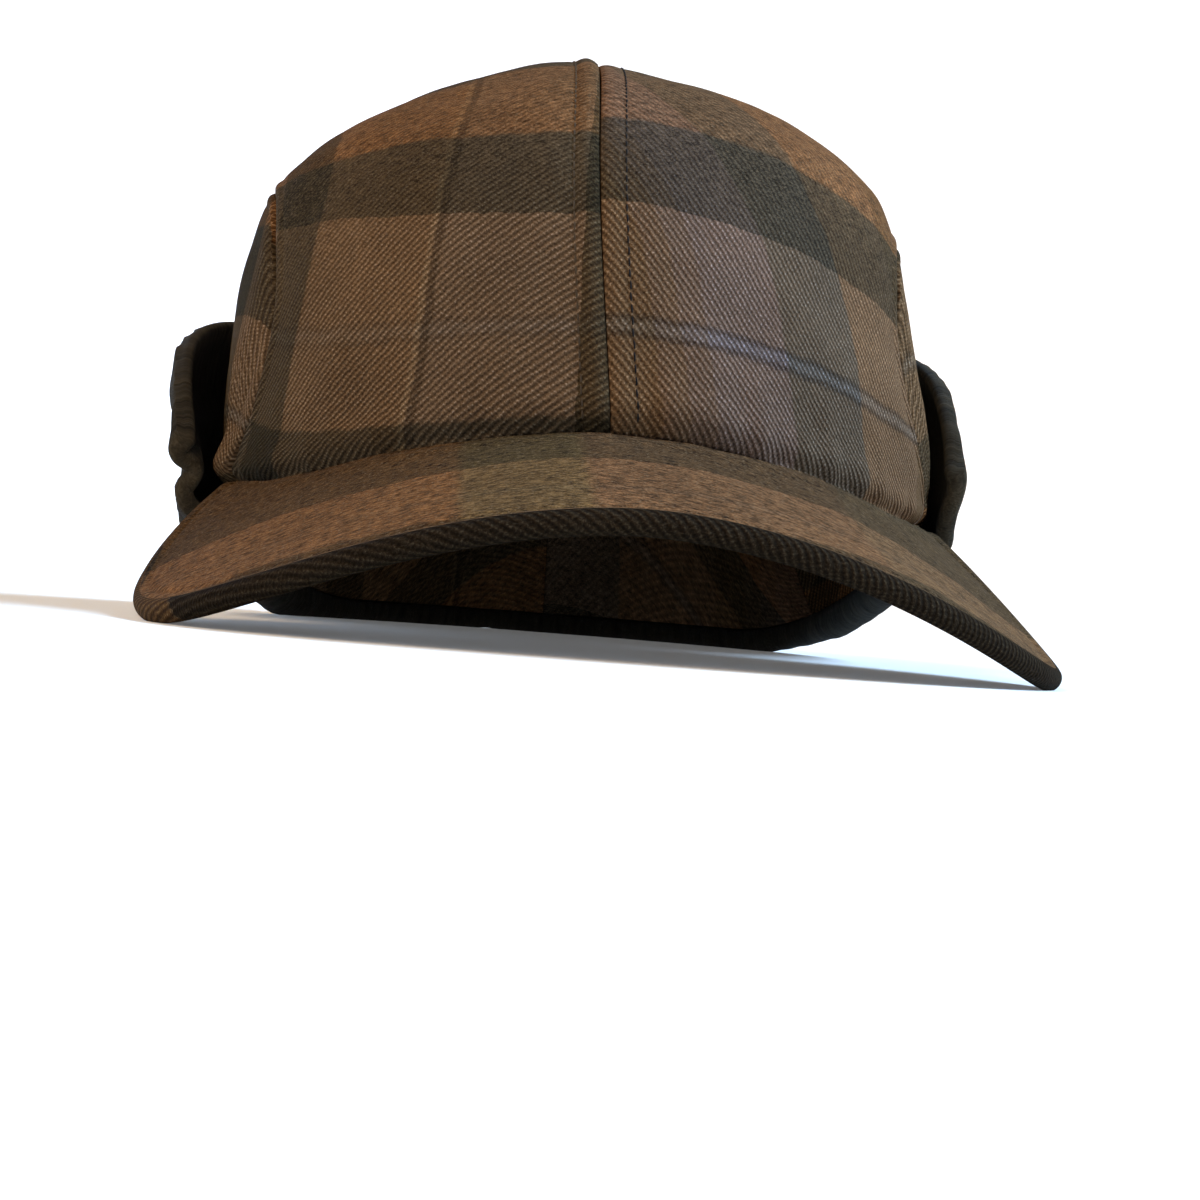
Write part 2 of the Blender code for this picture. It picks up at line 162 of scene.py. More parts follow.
# Relief of single panels: each place is a middle and a width
DEEPEST = 0.0020  # that a relief may cut into the crown wall
TOP_CREST = {LEFT: 0.0020, RIGHT: 0.0010}  # rise beside the centre seam over the top
TOP_CREST_ACROSS = {LEFT: (0.006, 0.013), RIGHT: (0.0, 0.013)}
TOP_CREST_ALONG = (-0.15, 0.35)
MIDDLE_CALM = 0.012  # beside the centre seam, and beside the others, the soft waves fade out
SIDE_CALM = 0.015
SIDE_WAVE_SHARE = 0.6
GATHER_RISE = 0.00030
GATHER_PITCH = 0.0036
GATHER_LEAN = 0.05
GATHER_PLACE = (0.010, 0.009)
GATHER_START = 0.004
FLARE = 0.0034  # of the left side panel beside its front seam, just over the peak
FLARE_ALONG = (0.0065, 0.0055)
FLARE_UP = (0.007, 0.010)

# Peak's cloth: each ridge is a height, its distance from the edge and its width
EDGE_SWELL = 0.00025
PEAK_JOIN_RIDGES = ((-0.00015, 0.0, 0.0012), (0.0003, 0.004, 0.002))
PEAK_EDGE_RIDGES = ((EDGE_SWELL, 0.0, 0.0022), (-0.00035, 0.0036, 0.0009))
PEAK_WAVE_SHARE = 0.35
PEAK_CALM = 0.006
PEAK_LEDGE_LIFT = 0.6  # share of its join gap that the inner edge closes
PEAK_ROLL_RADIUS = 0.13  # of the bend across, for laying the cloth flat

# Ear band's pile
BAND_ROLL = 0.0009  # thickening along its free edges
BAND_ROLL_WIDTH = 0.0035
BAND_WAVINESS = ((0.0, 0.6, 0.9), (0.7, 0.8, 0.35))  # by the way round from the left end
BAND_CALM = 0.01
BAND_CAP_END = 0.12  # share of the section left at its round ends
BAND_END_HIGHLIGHT = 0.0022  # width of the painted highlight on the pile at its ends
# painted highlight along the pile's top edge: its strength and its width
BAND_TOP_HIGHLIGHT = 0.6
BAND_TOP_HIGHLIGHT_WIDTH = 0.002

# Topstitch
STITCH_PITCH = 0.0025
STITCH_SHARE = 0.74
STITCH_FREE_END = 0.003
THREAD_RADIUS = 0.00021
THREAD_LIFT = 1.1  # of a stitch's middle, in thread radii
THREAD_SUNK = 0.45  # of its ends
THREAD_LEAN = 0.25  # of one stitch after another to either side
THREAD_LEAN_STEP = 2.4
THREAD_END_GIRTH = 0.55

TOP_ROWS, TOP_COLUMNS = 250, 150  # points of each piece's grid
SIDE_ROWS = 110
PEAK_ROWS, PEAK_COLUMNS = 52, 301

# Where the woven check lies on each panel, in metres along the cloth
WEFT_START = 0.046
CHECK_LEFT_START = 0.108
CHECK_LEAN = 0.08
CHECK_LEAN_GROWTH = 3.5
CHECK_LEAN_TO = (0.100, 0.03)  # height up to which it leans, and how softly that ends
CHECK_LEFT_DROOP = (1.1, 40, 3.5)  # at the lower edge, growth upward, most
CHECK_RIGHT_DROOP = 0.8
CHECK_DROOP_TO = 0.09
CHECK_DROOP_FADE = 0.08
CHECK_BEND = 0.8
CHECK_BEND_FROM = 0.046
CHECK_BEND_SOFTNESS = 0.012
CHECK_BEND_TO = (0.105, 0.02)
CHECK_RIGHT_UP = (0.022, 0.0215)  # a height on the right panel, and the check's place there
CHECK_RIGHT_STRETCH = 0.88
CHECK_RIGHT_LOWEST = 0.0045
SIDE_CHECK = {LEFT: (0.025, -0.046), RIGHT: (0.035, -0.0725)}
SIDE_CHECK_MIX = (0.55, 0.45)  # of the flat distance and of the one along the cloth
PEAK_CHECK_ACROSS = 0.100
PEAK_CHECK_BOW = 8.5
PEAK_CHECK_BOW_REACH = 0.09
PEAK_CHECK_FORWARD = 0.024
PEAK_CHECK_STRETCH = 1.05
PEAK_CHECK_LAST = 0.060
EDGE_CHECK = 0.012  # the peak's rolled edge lies in a dark band of the weft
EDGE_WARP_SHARE = 0.95  # and in the black one of the warp
EDGE_TIP = (-0.088, 0.02)  # but left of this in the orange one

# Felting: 0 where the ribs show, 1 where the nap covers them
TOP_NAP = (0.15, 0.6)  # at the lower edge, and what comes to it higher up
TOP_NAP_FROM = TOP_NAP_OVER = 0.040
SIDE_NAP = 0.1

# Floor and light
STAGE_FLAT = 2.4
STAGE_BEND = 0.9
STAGE_HEIGHT = 1.4
STAGE_TURNS = 96
SUNS = (  # name, colour, strength, degrees across, azimuth and elevation
    ("warm_left", (1.0, 0.68, 0.36), 2.7, 35.0, -46.0, 42.0),
    ("cool_right", (0.50, 0.72, 1.0), 9.5, 40.0, 84.0, 38.0),
)
SKY = ((1.0, 0.95, 0.86), 0.15)


def column(table, columns, name):
    """One named column of a table as an array."""
    return np.array([row[columns.index(name)] for row in table])


def together(*parts):
    """Values side by side, along a new last axis."""
    return np.stack(parts, axis=-1)


def between(where, places, rows):
    """Rows of a table, read at and between their places."""
    return together(*(np.interp(where, places, part) for part in rows.T))


def smooth(values, places, where, end=None):
    """Values of a table read along a smooth curve, which may end straight or level."""
    slopes = np.gradient(values, places)
    if end == "straight":
        slopes[-1] = (values[-1] - values[-2]) / (places[-1] - places[-2])
    if end == "level":
        slopes[-1] = 0.0
    where = np.clip(where, places[0], places[-1])
    row = np.clip(np.searchsorted(places, where, side="right") - 1, 0, len(places) - 2)
    step = places[row + 1] - places[row]
    t = (where - places[row]) / step
    return (
        values[row] * (1 + 2 * t) * (1 - t) ** 2
        + slopes[row] * step * t * (1 - t) ** 2
        + values[row + 1] * t * t * (3 - 2 * t)
        + slopes[row + 1] * step * t * t * (t - 1)
    )


def peak_fall(x, y):
    """Height of the peak's sheet below its highest line, where it meets the crown in front."""
    forward = -CROWN_FRONT_REACH - y
    share = (x - PEAK_SIDE_SHIFT) / PEAK_HALF_WIDTH
    drop = np.where(share < 0, PEAK_DROP_LEFT, PEAK_DROP_RIGHT) * np.abs(share) ** PEAK_CURVE
    return PEAK_SLOPE * forward + drop - RIM_TILT * x * (1 - np.clip(np.abs(share), 0, 1) ** 3)


def peak_outline(turn):
    """Outer edge of the peak in plan, by degrees from its front."""
    a = np.radians(turn)
    power = 2 / PEAK_SQUARENESS
    x = PEAK_SIDE_SHIFT + PEAK_HALF_WIDTH * np.sign(np.sin(a)) * np.abs(np.sin(a)) ** power
    end_y = -CROWN_FRONT_REACH * math.cos(math.radians(PEAK_END_ANGLE))
    back_length = (end_y - PEAK_CENTRE_Y) / abs(math.cos(math.radians(PEAK_OUTLINE_END))) ** power
    length = np.where(np.cos(a) > 0, PEAK_LENGTH, back_length)
    y = PEAK_CENTRE_Y - length * np.sign(np.cos(a)) * np.abs(np.cos(a)) ** power
    return x, y


PEAK_EDGE_X, PEAK_EDGE_Y = peak_outline(np.linspace(-PEAK_OUTLINE_END, PEAK_OUTLINE_END, 501))


def hinge_height():
    """Height at which the crown meets the peak in front, with the peak's sides on the ground."""
    x, y = PEAK_EDGE_X, PEAK_EDGE_Y
    fall = peak_fall(x, y)
    step = 1e-4
    side_slope = np.arctan((peak_fall(x + step * np.sign(x), y) - fall) / step)
    below_edge = PEAK_THICKNESS / 2 * (1 + np.cos(side_slope) - np.sin(side_slope))
    return float((fall + below_edge).max())


HINGE_HEIGHT = hinge_height()
CROWN_TOP = HINGE_HEIGHT + CROWN_RISE


def ease(t):
    """Rises from 0 to 1 and flattens out."""
    t = np.clip(t, 0, 1)
    return 1 - (1 - t) ** 2


def sway(t):
    """Leaves 0 and reaches 1 level."""
    t = np.clip(t, 0, 1)
    return t * t * (3 - 2 * t)


def bell(t, middle, width):
    """1 at its middle, fading to nothing about two widths away."""
    return np.exp(-(((t - middle) / width) ** 2))


def rim_height(angle):
    """Height of the crown's lower edge, by degrees from the front."""
    a = np.radians(np.clip(np.abs(angle), 0, PEAK_END_ANGLE)) * np.sign(angle)
    x = CROWN_HALF_WIDTH * np.sin(a)
    y = -CROWN_FRONT_REACH * np.cos(a)
    height = HINGE_HEIGHT - peak_fall(x, y)
    way_back = (np.abs(angle) - PEAK_END_ANGLE) / (REAR_RIM_START - PEAK_END_ANGLE)
    return height + (REAR_RIM_HEIGHT - height) * sway(way_back)


def meridian(angle, way_up):
    """Point of the crown's outer surface, by degrees from the front and share of the way up."""
    a = np.radians(angle)
    rows = np.linspace(0, 1, len(PROFILE))
    side = np.sin(a) ** 2
    front = np.where(np.cos(a) > 0, np.cos(a) ** 2, 0)
    rear = np.where(np.cos(a) > 0, 0, np.cos(a) ** 2)

    def read(kind, end):
        return sum(
            weight * smooth(column(PROFILE, PROFILE_COLUMNS, f"{name}_{kind}"), rows, way_up, end)
            for name, weight in (("front", front), ("side", side), ("rear", rear))
        )

    up, out = read("up", "level"), read("out", "straight")
    rim = rim_height(angle)
    z = rim + (CROWN_TOP - rim) * up
    reach = np.where(np.cos(a) > 0, CROWN_FRONT_REACH, CROWN_REAR_REACH)
    high = np.clip((z - HINGE_HEIGHT) / CROWN_RISE, 0, 1)
    x = CROWN_HALF_WIDTH * np.sin(a) * out + CROWN_LEAN * high + CROWN_TOP_SHIFT * high**3
    y = -reach * np.cos(a) * out
    return together(x, y, z)


def on_disc(disc):
    """The same surface over a flat disc, whose edge is the rim and whose front is at -q."""
    p, q = disc[..., 0], disc[..., 1]
    return meridian(np.degrees(np.arctan2(p, -q)), 1 - np.hypot(p, q))


def unit(v):
    """Vectors made 1 long."""
    return v / np.maximum(np.linalg.norm(v, axis=-1, keepdims=True), 1e-12)


def crown_normal(disc):
    """Outward direction at points of the disc."""
    step = 2e-3
    inside = disc * (1 - 2 * step)
    moves = step * np.eye(2)
    along_p, along_q = (on_disc(inside + move) - on_disc(inside - move) for move in moves)
    return unit(np.cross(along_p, along_q))


def seam_on_disc(side, ways):
    """Points of a side panel's seam on the disc."""
    rows = np.linspace(0, 1, len(SEAM))
    angle = np.radians(smooth(column(SEAM, SEAM_COLUMNS, "angle"), rows, ways))
    out = 1 - smooth(column(SEAM, SEAM_COLUMNS, "way_up"), rows, ways)
    return together(side * out * np.sin(angle), -out * np.cos(angle))


def moved_off(line, distance):
    """A line of the disc moved to its left, as seen along it."""
    along = unit(np.gradient(line, axis=0))
    return line + distance * together(-along[:, 1], along[:, 0])


def rim_arc(start, end, side, ways):
    """Points along the rim on the disc, between two angles from the front."""
    angle = np.radians(start + (end - start) * ways)
    return together(side * np.sin(angle), -np.cos(angle))


def spread(bottom, top, left, right, across, upward):
    """Grid of points between four edges, given at the shares across and upward."""
    c, r = across[None, :, None], upward[:, None, None]
    straight = (1 - c) * left[:, None] + c * right[:, None]
    bottom_bulge = bottom - ((1 - c) * bottom[0] + c * bottom[-1])
    top_bulge = top - ((1 - c) * top[0] + c * top[-1])
    return straight + (1 - r) ** BULGE_FADE * bottom_bulge + r**BULGE_FADE * top_bulge


def denser_ends(count, strength):
    """Shares from 0 to 1, closer together at both ends."""
    t = np.linspace(0, 1, count)
    return t - strength * np.sin(2 * np.pi * t) / (2 * np.pi)


def disc_angle(point):
    """Degrees from the front of a point of the disc."""
    return math.degrees(math.atan2(abs(point[0]), -point[1]))


def arc_lengths(points, axis):
    """Distance along a grid's rows or columns from their start."""
    steps = np.linalg.norm(np.diff(points, axis=axis), axis=-1)
    zero = np.zeros_like(np.take(steps, [0], axis=axis))
    return np.concatenate([zero, np.cumsum(steps, axis=axis)], axis=axis)


def ripple(a, b, waves):
    """Sum of plane waves: rows of (height, cycles per metre along a, along b, phase)."""
    return sum(h * np.sin(2 * np.pi * (fa * a + fb * b) + phase) for h, fa, fb, phase in waves)


SOFT_WAVES = (
    (0.00045, 11.0, 4.0, 0.3),
    (0.00035, -7.0, 13.0, 1.9),
    (0.00022, 23.0, 9.0, 4.1),
    (0.00016, -17.0, 31.0, 2.2),
    (0.00010, 47.0, -22.0, 5.0),
    (0.00007, 38.0, 61.0, 0.8),
)
PUCKER_WAVES = (
    (0.00028, 92.0, 6.0, 0.4),
    (0.00020, 57.0, -14.0, 2.1),
    (0.00012, 141.0, 0.0, 3.3),
)
BAND_WAVES = (
    (0.00045, 21.0, 9.0, 0.7),
    (0.00035, -33.0, 26.0, 2.4),
    (0.00022, 61.0, 35.0, 4.0),
    (0.00016, 97.0, -48.0, 1.1),
    (0.00012, 160.0, 30.0, 5.2),
)


def ridges(distance, rows):
    """Ridges and grooves along an edge: rows of (height, distance from the edge, width)."""
    return sum(height * bell(distance, middle, width) for height, middle, width in rows)


def make_mesh(name, points, faces, layers=None, marks=None):
    """Smooth-shaded object. Its UV layers and marks hold one row for each point."""
    mesh = bpy.data.meshes.new(name)
    mesh.vertices.add(len(points))
    mesh.vertices.foreach_set("co", np.asarray(points, np.float32).ravel())
    faces = np.asarray(faces, np.int32)
    mesh.loops.add(faces.size)
    mesh.loops.foreach_set("vertex_index", faces.ravel())
    mesh.polygons.add(len(faces))
    starts = np.arange(0, faces.size, faces.shape[1], dtype=np.int32)
    mesh.polygons.foreach_set("loop_start", starts)
    mesh.update(calc_edges=True)
    for layer, values in (layers or {}).items():
        target = mesh.uv_layers.new(name=layer)
        target.data.foreach_set("uv", np.asarray(values, np.float32)[faces.ravel()].ravel())
    for layer, values in (marks or {}).items():
        target = mesh.attributes.new(layer, "FLOAT", "POINT")
        target.data.foreach_set("value", np.asarray(values, np.float32).ravel())
    mesh.validate()
    mesh.shade_smooth()
    obj = bpy.data.objects.new(name, mesh)
    bpy.context.scene.collection.objects.link(obj)
    return obj


def grid_faces(rows, columns, first=0, closed=False, flip=False):
    """Quads of a grid of points, numbered along its rows."""
    last = columns if closed else columns - 1
    r, c = np.meshgrid(np.arange(rows - 1), np.arange(last), indexing="ij")
    ahead = (c + 1) % columns
    below, above = r * columns, (r + 1) * columns
    quads = together(below + c, below + ahead, above + ahead, above + c).reshape(-1, 4)
    return first + (quads[:, ::-1] if flip else quads)


def border_of(rows, columns):
    """Point numbers round a grid's edge."""
    grid = np.arange(rows * columns).reshape(rows, columns)
    return np.concatenate([grid[0], grid[1:, -1], grid[-1, -2::-1], grid[-2:0:-1, 0]])


def shell(name, outer, inner, flip, layers, marks):
    """Closed cloth piece between two grids of points, both with the same layers and marks."""
    rows, columns = outer.shape[:2]
    count = rows * columns
    edge = border_of(rows, columns)
    ahead = np.roll(edge, -1)
    rim = together(edge, edge + count, ahead + count, ahead)
    sheet = grid_faces(rows, columns)
    faces = np.concatenate([sheet, sheet[:, ::-1] + count, rim])
    if flip:
        faces = faces[:, ::-1]
    points = np.concatenate([outer.reshape(-1, 3), inner.reshape(-1, 3)])
    layers = {k: np.tile(v.reshape(-1, 2), (2, 1)) for k, v in layers.items()}
    marks = {k: np.tile(v.ravel(), 2) for k, v in marks.items()}
    return make_mesh(name, points, faces, layers, marks)


def seam_relief(distance, rise, width):
    """Groove at a seam, the raised fold beside it and the dip under its topstitch."""
    groove = -SEAM_GROOVE * bell(distance, 0.0, SEAM_GROOVE_WIDTH)
    fold = rise * bell(distance, FOLD_CREST * width, FOLD_SPREAD * width)
    dip = STITCH_DIP * rise * bell(distance, width, STITCH_DIP_WIDTH)
    return groove + fold - dip


def rim_relief(up, along):
    """Lower edge of the crown: the cloth tucks in above the peak, and puffs and puckers over it."""
    tuck = -RIM_TUCK * np.clip(1 - up / RIM_TUCK_HEIGHT, 0, 1) ** 2
    puffed = RIM_PUFF * bell(up, *RIM_PUFF_PLACE)
    return tuck + puffed + ripple(along, up, PUCKER_WAVES) * np.exp(-up / PUCKER_FADE)


def held_below(value, limit, softness):
    """Value that levels off smoothly at its limit."""
    return 0.5 * (value + limit - np.hypot(value - limit, softness))


def top_check(side, across, up):
    """Place in a top panel's woven check. It leans on the left panel and bends on the right."""
    drooping = 1 - sway((up - CHECK_DROOP_TO) / CHECK_DROOP_FADE)
    if side == LEFT:
        lean = CHECK_LEAN + CHECK_LEAN_GROWTH * across
        warp = CHECK_LEFT_START - across - held_below(up, *CHECK_LEAN_TO) * lean
        low, growth, most = CHECK_LEFT_DROOP
        droop = np.minimum(low + growth * up, most) * drooping
        weft = up - droop * across**2
    else:
        risen = held_below(up, *CHECK_BEND_TO) - CHECK_BEND_FROM
        bend = CHECK_BEND * 0.5 * (risen + np.hypot(risen, CHECK_BEND_SOFTNESS))
        warp = across + bend
        droop = CHECK_RIGHT_DROOP * drooping
        height, place = CHECK_RIGHT_UP
        weft = place + CHECK_RIGHT_STRETCH * (up - height) - droop * across**2
        weft = np.maximum(weft, CHECK_RIGHT_LOWEST)
    return together(warp, weft - WEFT_START)


def peak_check(uv):
    """Place in the woven check of the peak, whose dark band follows the crown's lower edge."""
    across, forward = uv[..., 0], uv[..., 1]
    bow = PEAK_CHECK_BOW * across**2 / (1 + (across / PEAK_CHECK_BOW_REACH) ** 2)
    weft = WEFT_START - PEAK_CHECK_STRETCH * (forward + bow - PEAK_CHECK_FORWARD)
    weft = np.minimum(weft, PEAK_CHECK_LAST)
    return together(across + PEAK_CHECK_ACROSS, weft - WEFT_START)


def cloth_piece(name, disc, side, relief, layers, marks):
    """Cloth panel over a grid of disc points, raised by its relief, with its outer grid."""
    base, normal = on_disc(disc), crown_normal(disc)
    outer = base + np.maximum(relief, -DEEPEST)[..., None] * normal
    piece = shell(name, outer, base - CROWN_WALL * normal, side == LEFT, layers, marks)
    return piece, outer, normal


def top_panel(side):
    """Half of the crown's top, from the peak over the head to the back."""
    half_gap = SEWN_GAP / CROWN_HALF_WIDTH
    upward, across = denser_ends(TOP_ROWS, 0.45), denser_ends(TOP_COLUMNS, 0.6)
    seam = moved_off(seam_on_disc(side, upward), side * half_gap)
    front_to_rear = 2 * upward - 1
    crept = CENTRE_SEAM_SHIFT / CROWN_HALF_WIDTH * (1 - front_to_rear**2) ** 2
    middle = together(crept + side * half_gap, front_to_rear)
    front = rim_arc(math.degrees(half_gap), disc_angle(seam[0]), side, across)
    rear = rim_arc(180 - math.degrees(half_gap), disc_angle(seam[-1]), side, across)
    middle[0], middle[-1], seam[0], seam[-1] = front[0], rear[0], front[-1], rear[-1]
    disc = spread(front, rear, middle, seam, across, upward)
    base = on_disc(disc)
    from_middle = arc_lengths(base, 1)
    from_seam = from_middle[:, -1:] - from_middle
    up = arc_lengths(base, 0)
    from_rear = up[-1:] - up
    relief = seam_relief(from_middle, SEAM_FOLD_RISE * SEAM_FOLD_SHARE[side], SEAM_FOLD_WIDTH)
    relief += seam_relief(from_seam, SIDE_FOLD_RISE, SIDE_FOLD_WIDTH)
    relief += rim_relief(up, side * from_middle) + rim_relief(from_rear, side * from_middle)
    calm = sway(from_middle / MIDDLE_CALM) * sway(from_seam / SIDE_CALM)
    relief += ripple(side * from_middle, up, SOFT_WAVES) * calm
    crest = TOP_CREST[side] * bell(from_middle, *TOP_CREST_ACROSS[side])
    relief += crest * bell(disc[..., 1], *TOP_CREST_ALONG)
    layers = {
        "cloth": together(side * from_middle, up),
        "check": top_check(side, from_middle, up),
    }
    nap = TOP_NAP[0] + TOP_NAP[1] * sway((up - TOP_NAP_FROM) / TOP_NAP_OVER)
    name = f"top_panel_{WORDS[side]}"
    piece, outer, normal = cloth_piece(name + "_cloth", disc, side, relief, layers, {"nap": nap})
    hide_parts(name)
    return piece, outer, normal, from_middle


def side_panel(side):
    """Arched panel over the ear."""
    half_gap = SEWN_GAP / CROWN_HALF_WIDTH
    upward = across = denser_ends(SIDE_ROWS, 0.5)
    start, end = SEAM_ARCH_SHARE
    fine = np.linspace(0, 1, 401)
    seam = moved_off(seam_on_disc(side, fine), -side * half_gap)
    for tip in (0, -1):
        seam[tip] = rim_arc(disc_angle(seam[tip]), 0.0, side, np.zeros(1))[0]
    left = between(start * upward, fine, seam)
    right = between(1 + (end - 1) * upward, fine, seam)
    over = between(start + (end - start) * across, fine, seam)
    rim = rim_arc(disc_angle(seam[0]), disc_angle(seam[-1]), side, across)
    disc = spread(rim, over, left, right, across, upward)
    base = on_disc(disc)
    along, up = arc_lengths(base, 1), arc_lengths(base, 0)
    back, down = along[:, -1:] - along, up[-1:] - up
    relief = sum(seam_relief(d, SIDE_FOLD_RISE, SIDE_FOLD_WIDTH) for d in (along, back, down))
    calm = sway(np.minimum(np.minimum(along, back), down) / SIDE_CALM)
    relief += rim_relief(up, along) + SIDE_WAVE_SHARE * calm * ripple(along, up, SOFT_WAVES)
    bunched = np.sin(2 * math.pi * (along + GATHER_LEAN * up) / GATHER_PITCH)
    gathers = GATHER_RISE * bunched * bell(along, *GATHER_PLACE)
    relief += gathers * sway(along / GATHER_START)
    if side == LEFT:
        relief += FLARE * bell(along, *FLARE_ALONG) * bell(up, *FLARE_UP)
    flat = base[..., 1] - base[0, 0, 1]
    across_cloth = side * (SIDE_CHECK_MIX[0] * flat + SIDE_CHECK_MIX[1] * along)
    shift_across, shift_up = SIDE_CHECK[side]
    layers = {
        "cloth": together(side * flat, base[..., 2]),
        "check": together(across_cloth + shift_across, up + shift_up),
    }
    name = f"side_panel_{WORDS[side]}"
    marks = {"nap": np.full(up.shape, SIDE_NAP)}
    piece = cloth_piece(name + "_cloth", disc, side, relief, layers, marks)[0]
    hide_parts(name)
    return piece


def loft_with_ends(name, rings, layers, marks):
    """Solid through rings of points. Its ends are strips of quads from side to side of a ring."""
    stations, corners = rings.shape[:2]
    k = np.arange(corners // 2 - 1)
    end = together(k, k + 1, corners - 2 - k, corners - 1 - k)
    far_end = end + (stations - 1) * corners
    faces = np.concatenate([grid_faces(stations, corners, closed=True), end[:, ::-1], far_end])
    layers = {name: uv.reshape(-1, 2) for name, uv in layers.items()}
    return make_mesh(name, rings.reshape(-1, 3), faces, layers, marks)


def make_peak():
    """Peak covered with the cloth, which is rolled round its thick front edge."""
    rim_angle = np.linspace(-PEAK_END_ANGLE, PEAK_END_ANGLE, PEAK_COLUMNS)
    inner = meridian(rim_angle, 0 * rim_angle)
    inner[:, 2] -= PEAK_JOIN_GAP
    a = np.radians(rim_angle)
    ledge = inner - CROWN_WALL * crown_normal(together(np.sin(a), -np.cos(a)))
    x, y = peak_outline(rim_angle / PEAK_END_ANGLE * PEAK_OUTLINE_END)
    edge = together(x, y, HINGE_HEIGHT - peak_fall(x, y))
    along = unit(np.gradient(edge, axis=0))
    out = unit(edge - inner)
    up = unit(np.cross(out, along))
    half = PEAK_THICKNESS / 2
    way = denser_ends(PEAK_ROWS, 0.5)[:, None, None]
    top = inner + way * (edge - half * out - inner)
    from_edge = np.linalg.norm(top[-1:] - top, axis=-1)
    from_crown = np.linalg.norm(top - top[:1], axis=-1)
    length = arc_lengths(edge, 0)[None]
    relief = ridges(from_crown, PEAK_JOIN_RIDGES) + ridges(from_edge, PEAK_EDGE_RIDGES)
    waves = PEAK_WAVE_SHARE * ripple(length, from_crown, SOFT_WAVES)
    relief += waves * sway(from_edge / PEAK_CALM)
    raised = top + relief[..., None] * up
    for ring in (ledge, raised[0]):
        ring[..., 2] += PEAK_LEDGE_LIFT * PEAK_JOIN_GAP
    turns = np.linspace(0, math.pi, 17)[1:-1]
    swell = half + EDGE_SWELL * np.cos(turns / 2)
    centre = top[-1] - half * up
    bead = [centre + r * (math.sin(b) * out + math.cos(b) * up) for r, b in zip(swell, turns)]
    lower = (top - PEAK_THICKNESS * up)[::-1]
    lower_ledge = ledge - PEAK_THICKNESS * up
    rings = np.concatenate([ledge[None], raised, np.array(bead), lower, lower_ledge[None]])
    rings = rings.swapaxes(0, 1)
    rings[..., 2] = np.maximum(rings[..., 2], 0.0)
    bent = np.arcsin(np.clip(rings[..., 0] / PEAK_ROLL_RADIUS, -1, 1)) * PEAK_ROLL_RADIUS
    uv = together(bent, -CROWN_FRONT_REACH - rings[..., 1])
    first_bead = 1 + len(top)
    underneath = half * math.pi + np.concatenate([from_edge[::-1, 0], from_edge[:1, 0]])
    travelled = np.concatenate([half * turns, underneath])
    outward = together(out[:, 0], -out[:, 1])
    start = uv[:, first_bead - 1 : first_bead]
    uv[:, first_bead:] = start + travelled[None, :, None] * outward[:, None]
    rolled = slice(first_bead - 2, None)
    check = peak_check(uv)
    tip_end, tip_warp = EDGE_TIP
    tip = uv[:, rolled, 0] < tip_end
    check[:, rolled, 0] = np.where(tip, tip_warp, EDGE_WARP_SHARE * PEAK_REPEAT)
    check[:, rolled, 1] = EDGE_CHECK
    nap = np.ones(rings.shape[:2])
    nap[:, rolled] = 0.0
    piece = loft_with_ends("peak_cloth", rings, {"cloth": uv, "check": check}, {"nap": nap})
    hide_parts("peak")
    return piece


def band_top(angle):
    """Height of the ear band's upper edge, which rises from its round front corners to the back."""
    past_start = np.abs(angle) - BAND_START_ANGLE
    height = BAND_TOP_FRONT + (BAND_TOP_REAR - BAND_TOP_FRONT) * ease(past_start / BAND_RISE_ANGLE)
    corner = np.clip(past_start / BAND_CORNER_ANGLE, 0, 1)
    across = CROWN_HALF_WIDTH * np.sin(np.radians(angle))
    return height + BAND_TILT * across - BAND_CORNER_RADIUS * (1 - np.sqrt(1 - (1 - corner) ** 2))


def band_standoff(angle, way_up):
    """Clear space between the crown and the ear band."""
    name, widest = ("left", BAND_STANDOFF_LEFT) if angle < 0 else ("right", BAND_STANDOFF_RIGHT)
    shares = column(STANDOFF, STANDOFF_COLUMNS, name)
    side = widest * smooth(shares, column(STANDOFF, STANDOFF_COLUMNS, "way_up"), way_up)
    closed = sway((abs(angle) - BAND_CLOSES_FROM) / BAND_CLOSES_OVER)
    return side + (BAND_STANDOFF_REAR - side) * closed


def band_section(angle):
    """Middle line of the ear band's section, and the plan direction that leads out of the cap."""
    a = math.radians(angle)
    reach = CROWN_FRONT_REACH if math.cos(a) > 0 else CROWN_REAR_REACH
    out = unit(np.array([math.sin(a) / CROWN_HALF_WIDTH, -math.cos(a) / reach]))
    rim = meridian(np.array([angle]), np.array([0.0]))[0]
    half = BAND_THICKNESS / 2
    leg_top = rim[2] - BAND_JOIN_GAP
    fold_level = leg_top - BAND_INNER_LEG
    inside, outside = -CROWN_WALL / 2, band_standoff(angle, 0.0) + half
    middle, radius = (outside + inside) / 2, (outside - inside) / 2
    line = [(inside, leg_top), (inside, fold_level)]
    for b in np.linspace(math.pi, 2 * math.pi, 13)[1:]:
        line.append((middle + radius * math.cos(b), fold_level + radius * math.sin(b)))
    ways = np.linspace(0, 0.6, 61)
    crown_line = meridian(np.full(len(ways), angle), ways)
    crown_out = (crown_line[:, :2] - rim[:2]) @ out
    top = float(band_top(angle)) - half
    for way in np.linspace(0, 1, 41)[1:]:
        level = fold_level + way * (top - fold_level)
        crown = np.interp(max(level, rim[2]), crown_line[:, 2], crown_out)
        line.append((crown + float(band_standoff(angle, way)) + half, level))
    return np.array(line), rim, out


